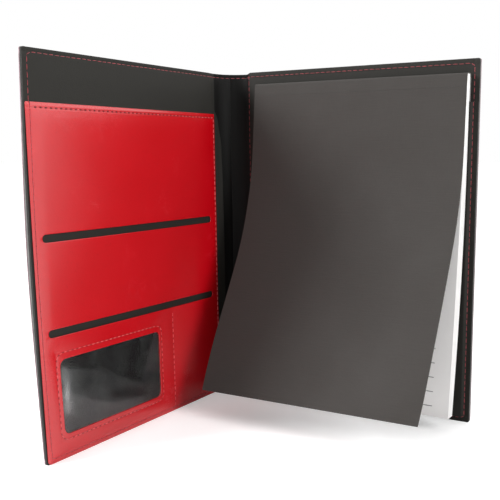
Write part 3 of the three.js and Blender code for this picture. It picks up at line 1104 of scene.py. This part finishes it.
class Thread:
    """Stitches and the painted shade of their needle holes, moving together."""

    def __init__(self, place):
        self.place = place
        self.points = []
        self.faces = []
        self.hole_shade_points = []
        self.hole_shade_faces = []

    def out(self, s, z):
        """The direction away from the sheet."""
        step = self.place(s, 1.0, z) - self.place(s, 0.0, z)
        return step.normalized()

    def stitch(self, start, end, level, side, radius, wander=0.08):
        rings = STITCH_RINGS
        corners = STITCH_CORNERS
        first = len(self.points)
        (s0, z0), (s1, z1) = start, end
        drift = random.uniform(-wander, wander)
        along_s, along_z = s1 - s0, z1 - z0
        length = math.hypot(along_s, along_z)
        centres = []
        for i in range(rings):
            t = i / (rings - 1)
            sway = drift * math.sin(math.pi * t)
            s = s0 + along_s * t - along_z / length * sway
            z = z0 + along_z * t + along_s / length * sway
            lift = side * (radius * 1.15 * math.sin(math.pi * t) ** 0.6 - radius * 0.75)
            centres.append((s, z, self.place(s, level(s, z) + lift, z)))
        for i, (s, z, centre) in enumerate(centres):
            ahead = centres[min(i + 1, rings - 1)][2] - centres[max(i - 1, 0)][2]
            ahead.normalize()
            across = ahead.cross(self.out(s, z)).normalized()
            up = across.cross(ahead).normalized()
            t = i / (rings - 1)
            size = radius * (0.5 + 0.5 * math.sin(math.pi * t) ** 0.5) * MM
            for corner in range(corners):
                angle = 2 * math.pi * corner / corners
                self.points.append(centre + across * size * math.cos(angle) + up * size * math.sin(angle))
        for i in range(rings - 1):
            for corner in range(corners):
                a = first + i * corners + corner
                b = first + i * corners + (corner + 1) % corners
                self.faces.append((a, b, b + corners, a + corners))
        self.faces.append(tuple(first + corner for corner in range(corners)))
        last = first + (rings - 1) * corners
        self.faces.append(tuple(last + corner for corner in reversed(range(corners))))

    def hole(self, spot, heading, level, side, radius):
        """A small pit that the thread goes into, drawn as a low dome coloured dark: painted shade inside the
        needle hole.
        """
        s0, z0 = spot
        first = len(self.hole_shade_points)
        corners = HOLE_CORNERS
        self.hole_shade_points.append(self.place(s0, level(s0, z0) + side * 0.12, z0))
        for corner in range(corners):
            angle = 2 * math.pi * corner / corners
            a = radius * 1.35 * math.cos(angle)
            b = radius * math.sin(angle)
            s = s0 + heading[0] * a - heading[1] * b
            z = z0 + heading[1] * a + heading[0] * b
            self.hole_shade_points.append(self.place(s, level(s, z) + side * 0.03, z))
        for corner in range(corners):
            self.hole_shade_faces.append((first, first + 1 + corner, first + 1 + (corner + 1) % corners))

    def run(self, line, pitch, level, side=1, radius=THREAD, share=0.86, hole=1.25):
        """Stitches along a line of (s, z), with domes of painted shade at their needle holes."""
        lengths = [0.0]
        for a, b in zip(line, line[1:]):
            lengths.append(lengths[-1] + math.dist(a, b))
        count = max(1, round(lengths[-1] / pitch))
        pitch = lengths[-1] / count

        def at(distance):
            for i in range(len(line) - 1):
                if distance <= lengths[i + 1] or i == len(line) - 2:
                    t = (distance - lengths[i]) / max(lengths[i + 1] - lengths[i], 1e-9)
                    t = min(max(t, 0.0), 1.0)
                    return (line[i][0] + (line[i + 1][0] - line[i][0]) * t,
                            line[i][1] + (line[i + 1][1] - line[i][1]) * t)

        for i in range(count):
            gap = pitch * (1 - share) / 2 * random.uniform(0.85, 1.15)
            start, end = at(i * pitch + gap), at((i + 1) * pitch - gap)
            self.stitch(start, end, level, side, radius)
            if i:
                before, after = at(i * pitch - 0.4), at(i * pitch + 0.4)
                reach = max(math.dist(before, after), 1e-6)
                heading = ((after[0] - before[0]) / reach, (after[1] - before[1]) / reach)
                # A dome of painted shade where the thread goes into the sheet.
                self.hole(at(i * pitch), heading, level, side, radius * hole)

    def pieces(self, name, material, hole_shade_material):
        """The stitches and the painted shade of their needle holes, as two meshes."""
        stitches = build(name, self.points, self.faces, [material])
        hole_shades = build(name + "_holes", self.hole_shade_points, self.hole_shade_faces, [hole_shade_material])
        return stitches, hole_shades


def edge_line(start, taller=0.0):
    """The seam round a cover, from the middle of the spine and back to it."""
    edge = SEAM_SIDE
    head = SEAM_TOP + taller
    line = [(s, SEAM_TOP + taller * head_step(s)) for s in spread(start, edge - SEAM_CORNER, 4.0)]
    line += arc(edge - SEAM_CORNER, head - SEAM_CORNER, SEAM_CORNER, 1, 0, 5)
    line += [(edge, head - SEAM_CORNER - i * SIDE_STEP) for i in range(1, SIDE_STEPS + 1)]
    line += [(edge, SEAM_FOOT)]
    line += [(s, SEAM_FOOT) for s in reversed(spread(start, edge - FOOT_CORNER, 4.0))]
    return line


def front_surface(s, z):
    """The level that the front cover's edge seam is sewn on."""
    if z < PANEL_HEAD and s > PANEL_FROM:
        return panel_front(s, z)
    if s > pocket_edge(z):
        return pocket_front(s, z)
    return lining_front(s, z)


def back_surface(s, z):
    """The level that the back cover's seams are sewn on."""
    if z < SLEEVE_HEAD and s > SLEEVE_FROM:
        return sleeve_front(s, z)
    return back_lining_front(s, z)


front_seam = Thread(on_front)
front_seam.run(edge_line(-SPINE / 2), STITCH, front_surface)
front_seam.run(edge_line(-SPINE / 2), STITCH, front_skin_back, side=-1)
back_seam = Thread(on_back)
hinge_line = [(HINGE_SEAM, z) for z in reversed(spread(1.0, HEIGHT - 0.3, 5.0))]
for line in (edge_line(-SPINE / 2, BACK_SEAM_RISE), hinge_line):
    back_seam.run(line, STITCH, back_surface)
    back_seam.run(line, STITCH, skin_back, side=-1)
for side, seam in (("front", front_seam), ("back", back_seam)):
    for piece in seam.pieces(side + "_seam", red_thread, black_hole_shade):
        hinged(piece, side, "red_leatherette")

panel_seam = Thread(on_front)
head_line = [(s, PANEL_SEAM_HEAD) for s in reversed(spread(PANEL_SEAM_INNER, SEAM_SIDE, 6.0))]
inner_line = [(PANEL_SEAM_INNER, z) for z in reversed(spread(SEAM_FOOT, PANEL_SEAM_HEAD, 6.0))]
window_line = rounded(*WINDOW_SEAM, WINDOW_SEAM_CORNER)
divider_line = [(DIVIDER, z) for z in reversed(spread(SEAM_FOOT, DIVIDER_TOP, 6.0))]
# Each line's stitch share and the size of the painted shade at its needle holes.
for line, share, hole in (
    (head_line, 0.5, 2.2),
    (inner_line, 0.72, 1.25),
    (window_line + window_line[:1], 0.6, 1.6),
    (divider_line, 0.75, 1.25),
):
    panel_seam.run(line, FINE_STITCH, panel_front, radius=FINE_THREAD, share=share, hole=hole)
for piece in panel_seam.pieces("panel_seam", panel_thread_highlit, red_hole_shade):
    rides(piece, "front_cover", "red_leatherette")


# Camera

CAMERA_PLACE = (0.23567, -0.37338, 0.16805)
YAW = math.radians(29.67)
PITCH = math.radians(9.58)
ROLL = math.radians(-0.25)
SENSOR = 36.0
LENS = 56.22
SHIFT = (-0.11034, 0.07117)


def camera():
    """The camera that was fitted to the photo."""
    data = bpy.data.cameras.new("camera")
    data.sensor_width = SENSOR
    data.lens = LENS
    data.shift_x, data.shift_y = SHIFT
    data.clip_start = 0.01
    ahead = Vector((-math.sin(YAW) * math.cos(PITCH), math.cos(YAW) * math.cos(PITCH), -math.sin(PITCH)))
    right = Vector((math.cos(YAW), math.sin(YAW), 0.0))
    up = right.cross(ahead)
    side = right * math.cos(ROLL) + up * math.sin(ROLL)
    top = up * math.cos(ROLL) - right * math.sin(ROLL)
    rotation = Matrix((side, top, -ahead)).transposed()
    holder = bpy.data.objects.new("camera", data)
    holder.matrix_world = Matrix.Translation(CAMERA_PLACE) @ rotation.to_4x4()
    bpy.context.scene.collection.objects.link(holder)
    bpy.context.scene.camera = holder


camera()


# Floor, light and background

FLOOR_HALF = 12.0
FLOOR_GREY = (0.86, 0.86, 0.86, 1.0)
FLOOR_GLOW = 0.30
DIM_SIDE = (0.53, -0.84, -0.1)
DIM_START = -0.25
DIM_END = 0.75
ROOM_BRIGHT = 1.3
ROOM_DIM = 0.28
SHINE = 0.7
LAMPS = (
    ("right", (1.25, -0.2, 0.75), (-0.05, 0.0, 0.1), 0.7, 13.0),
    ("left", (-0.85, -1.0, 0.8), (0.03, 0.05, 0.1), 0.6, 21.0),
)


def floor():
    """A pale floor; the camera sees a little glow on it, so that it meets the white background."""
    graph = Graph("floor")
    diffuse = graph.node("ShaderNodeBsdfDiffuse", {"Color": FLOOR_GREY})
    path = graph.node("ShaderNodeLightPath")
    strength = graph.sums("MULTIPLY", path.outputs["Is Camera Ray"], FLOOR_GLOW)
    glow = graph.node("ShaderNodeEmission", {"Color": (1.0, 1.0, 1.0, 1.0), "Strength": strength})
    both = graph.node("ShaderNodeAddShader", {0: diffuse.outputs[0], 1: glow.outputs[0]})
    graph.tree.links.new(both.outputs[0], graph.output.inputs["Surface"])
    half = FLOOR_HALF
    corners = [(-half, -half, 0), (half, -half, 0), (half, half, 0), (-half, half, 0)]
    piece = build("floor", corners, [(0, 1, 2, 3)], [graph.made])


def lamp(name, place, aim, size, power):
    """A soft round lamp that faces a point."""
    data = bpy.data.lights.new(name, "AREA")
    data.shape = "DISK"
    data.size = size
    data.energy = power
    holder = bpy.data.objects.new(name, data)
    holder.location = place
    holder.rotation_euler = (Vector(aim) - Vector(place)).to_track_quat("-Z", "Y").to_euler()
    bpy.context.scene.collection.objects.link(holder)


def world():
    """White where the camera sees it; else bright behind the folder, dim round the camera.

    Reflections see a brighter room, like the soft boxes of a studio."""
    graph = Graph("studio", "worlds", "ShaderNodeOutputWorld")
    bpy.context.scene.world = graph.made
    path = graph.node("ShaderNodeLightPath").outputs
    direction = graph.node("ShaderNodeTexCoord").outputs["Generated"]
    facing = graph.node("ShaderNodeVectorMath", {0: direction, 1: DIM_SIDE}, operation="DOT_PRODUCT")
    fade = {"Value": facing.outputs["Value"], "From Min": DIM_START, "From Max": DIM_END,
            "To Min": ROOM_BRIGHT, "To Max": ROOM_DIM}
    room = graph.node("ShaderNodeMapRange", fade, interpolation_type="SMOOTHSTEP").outputs["Result"]
    shine = graph.sums("MULTIPLY_ADD", path["Is Glossy Ray"], SHINE, 1.0)
    lit = graph.sums("MULTIPLY", room, shine)
    seen = graph.node("ShaderNodeMix", {0: path["Is Camera Ray"], 2: lit, 3: 1.0}).outputs[0]
    background = graph.node("ShaderNodeBackground", {"Color": (1.0, 1.0, 1.0, 1.0), "Strength": seen})
    graph.tree.links.new(background.outputs[0], graph.output.inputs["Surface"])


floor()
world()
for settings in LAMPS:
    lamp(*settings)
bpy.context.scene.view_settings.view_transform = "Standard"
